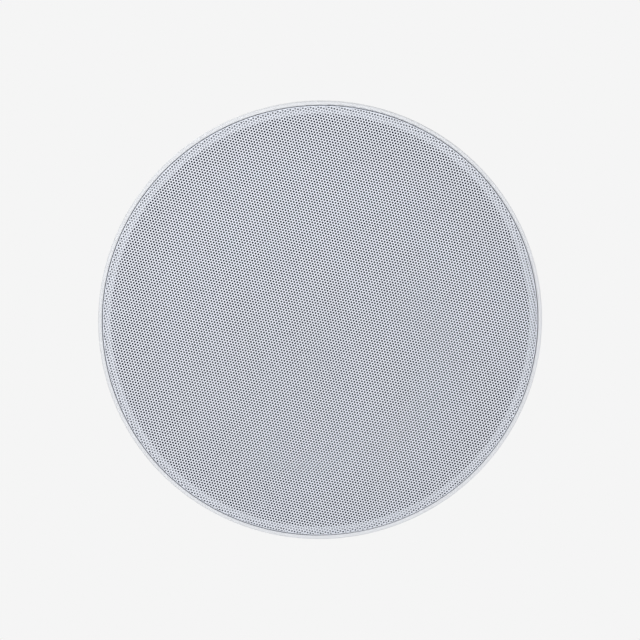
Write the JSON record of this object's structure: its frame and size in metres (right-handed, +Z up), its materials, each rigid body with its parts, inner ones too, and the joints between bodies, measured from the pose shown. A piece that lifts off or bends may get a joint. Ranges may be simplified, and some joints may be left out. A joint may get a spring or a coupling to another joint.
{
  "type": "in-ceiling speaker",
  "caption": "Round in-ceiling loudspeaker with a perforated white grille in a thin bezel, a woofer, a tilting tweeter, a crossover and swing-out clamps that grip the ceiling board.",
  "frame": {"origin": "centre of the flange's back face, in the plane of the ceiling", "axes": "+Z up into the ceiling void, along the speaker's axis; the grille faces -Z; +X along the tweeter's bridge"},
  "size_m": [0.23, 0.23, 0.1141],
  "materials": {
    "white_abs": "fine moulded texture",
    "grille_paint": "satin powder coat",
    "scrim_cloth": "fine black cloth",
    "nickel": "nickel plate",
    "black_steel": "satin black coat",
    "foam": "closed-cell foam",
    "black_screws": "black zinc",
    "rubber": "matt rubber",
    "spider_cloth": "resin-treated cotton",
    "plated_steel": "zinc plate",
    "ferrite": "ground ferrite",
    "plated_screws": "zinc plate",
    "phenolic": "phenolic sheet",
    "tinned_brass": "tinned brass",
    "black_abs": "fine moulded texture",
    "nylon": "natural nylon",
    "circuit_board": "green solder mask",
    "copper": "enamelled copper wire",
    "capacitor_film": "wrapped film",
    "resistor_ceramic": "matt ceramic",
    "cone_poly": "mineral-filled polypropylene",
    "former_foil": "foil",
    "silk": "coated silk",
    "red_key": "gloss",
    "black_key": "gloss",
    "brass_bush": "turned brass",
    "dog_nylon": "glass-filled nylon"
  },
  "bodies": {
    "frame": {"frame": "white_abs", "grille": "grille_paint", "grille_scrim": "scrim_cloth", "grille_magnets": "nickel", "basket": "black_steel", "basket_gasket": "foam", "basket_screws": "black_screws", "surround": "rubber", "spider": "spider_cloth", "top_plate": "plated_steel", "ring_magnet": "ferrite", "back_plate": "plated_steel", "motor_screws": "plated_screws", "tag_strip": "phenolic", "coil_tags": "tinned_brass", "tweeter_bridge": "black_abs", "bridge_screws": "black_screws", "pivot_pins": "plated_screws", "board_posts": "nylon", "crossover_board": "circuit_board", "board_screws": "plated_screws", "inductor_bobbin": "black_abs", "inductor_winding": "copper", "capacitors": "capacitor_film", "resistor": "resistor_ceramic", "terminal_block": "black_abs"},
    "cone": {"cone": "cone_poly", "dust_cap": "cone_poly", "coil_former": "former_foil", "voice_coil": "copper"},
    "tweeter": {"tweeter_housing": "black_abs", "tweeter_face": "black_abs", "tweeter_dome": "silk", "tweeter_coil": "copper", "tweeter_cup": "plated_steel", "tweeter_magnet": "nickel", "tweeter_pole": "plated_steel"},
    "key_red": {"terminal_key_red": "red_key"},
    "key_black": {"terminal_key_black": "black_key"},
    "clamp_screw_1": {"clamp_screw_1": "plated_screws"},
    "clamp_bush_1": {"clamp_bush_1": "brass_bush"},
    "clamp_dog_1": {"clamp_dog_1": "dog_nylon"},
    "clamp_screw_2": {"clamp_screw_2": "plated_screws"},
    "clamp_bush_2": {"clamp_bush_2": "brass_bush"},
    "clamp_dog_2": {"clamp_dog_2": "dog_nylon"},
    "clamp_screw_3": {"clamp_screw_3": "plated_screws"},
    "clamp_bush_3": {"clamp_bush_3": "brass_bush"},
    "clamp_dog_3": {"clamp_dog_3": "dog_nylon"},
    "clamp_screw_4": {"clamp_screw_4": "plated_screws"},
    "clamp_bush_4": {"clamp_bush_4": "brass_bush"},
    "clamp_dog_4": {"clamp_dog_4": "dog_nylon"}
  },
  "joints": [
    {"name": "cone_travel", "type": "slide", "parent": "frame", "child": "cone", "axis": [0, 0, 1], "range_m": [-0.003, 0.003], "stiffness_N_per_m": 1000, "deforming": ["surround", "spider"]},
    {"name": "tweeter_tilt", "type": "hinge", "parent": "frame", "child": "tweeter", "pos_m": [0, 0, 0.012], "axis": [1, 0, 0], "range_deg": [-12, 12]},
    {"name": "key_red_push", "type": "slide", "parent": "frame", "child": "key_red", "axis": [0, 0, -1], "range_m": [0, 0.0025], "stiffness_N_per_m": 600, "springref_m": -0.001},
    {"name": "key_black_push", "type": "slide", "parent": "frame", "child": "key_black", "axis": [0, 0, -1], "range_m": [0, 0.0025], "stiffness_N_per_m": 600, "springref_m": -0.001},
    {"name": "clamp_turn_1", "type": "hinge", "parent": "frame", "child": "clamp_screw_1", "pos_m": [0.06576, 0.06576, 0], "axis": [0, 0, 1], "range_deg": [0, 5760]},
    {"name": "clamp_climb_1", "type": "slide", "parent": "frame", "child": "clamp_bush_1", "axis": [0, 0, -1], "range_m": [0, 0.032]},
    {"name": "clamp_swing_1", "type": "hinge", "parent": "clamp_bush_1", "child": "clamp_dog_1", "pos_m": [0.06576, 0.06576, 0], "axis": [0, 0, 1], "range_deg": [0, 90]},
    {"name": "clamp_turn_2", "type": "hinge", "parent": "frame", "child": "clamp_screw_2", "pos_m": [-0.06576, 0.06576, 0], "axis": [0, 0, 1], "range_deg": [0, 5760]},
    {"name": "clamp_climb_2", "type": "slide", "parent": "frame", "child": "clamp_bush_2", "axis": [0, 0, -1], "range_m": [0, 0.032]},
    {"name": "clamp_swing_2", "type": "hinge", "parent": "clamp_bush_2", "child": "clamp_dog_2", "pos_m": [-0.06576, 0.06576, 0], "axis": [0, 0, 1], "range_deg": [0, 90]},
    {"name": "clamp_turn_3", "type": "hinge", "parent": "frame", "child": "clamp_screw_3", "pos_m": [-0.06576, -0.06576, 0], "axis": [0, 0, 1], "range_deg": [0, 5760]},
    {"name": "clamp_climb_3", "type": "slide", "parent": "frame", "child": "clamp_bush_3", "axis": [0, 0, -1], "range_m": [0, 0.032]},
    {"name": "clamp_swing_3", "type": "hinge", "parent": "clamp_bush_3", "child": "clamp_dog_3", "pos_m": [-0.06576, -0.06576, 0], "axis": [0, 0, 1], "range_deg": [0, 90]},
    {"name": "clamp_turn_4", "type": "hinge", "parent": "frame", "child": "clamp_screw_4", "pos_m": [0.06576, -0.06576, 0], "axis": [0, 0, 1], "range_deg": [0, 5760]},
    {"name": "clamp_climb_4", "type": "slide", "parent": "frame", "child": "clamp_bush_4", "axis": [0, 0, -1], "range_m": [0, 0.032]},
    {"name": "clamp_swing_4", "type": "hinge", "parent": "clamp_bush_4", "child": "clamp_dog_4", "pos_m": [0.06576, -0.06576, 0], "axis": [0, 0, 1], "range_deg": [0, 90]}
  ],
  "couplings": [
    {"joint": "clamp_turn_1", "follows": "clamp_climb_1", "rad_per_m": 3141.6},
    {"joint": "clamp_turn_2", "follows": "clamp_climb_2", "rad_per_m": 3141.6},
    {"joint": "clamp_turn_3", "follows": "clamp_climb_3", "rad_per_m": 3141.6},
    {"joint": "clamp_turn_4", "follows": "clamp_climb_4", "rad_per_m": 3141.6}
  ]
}
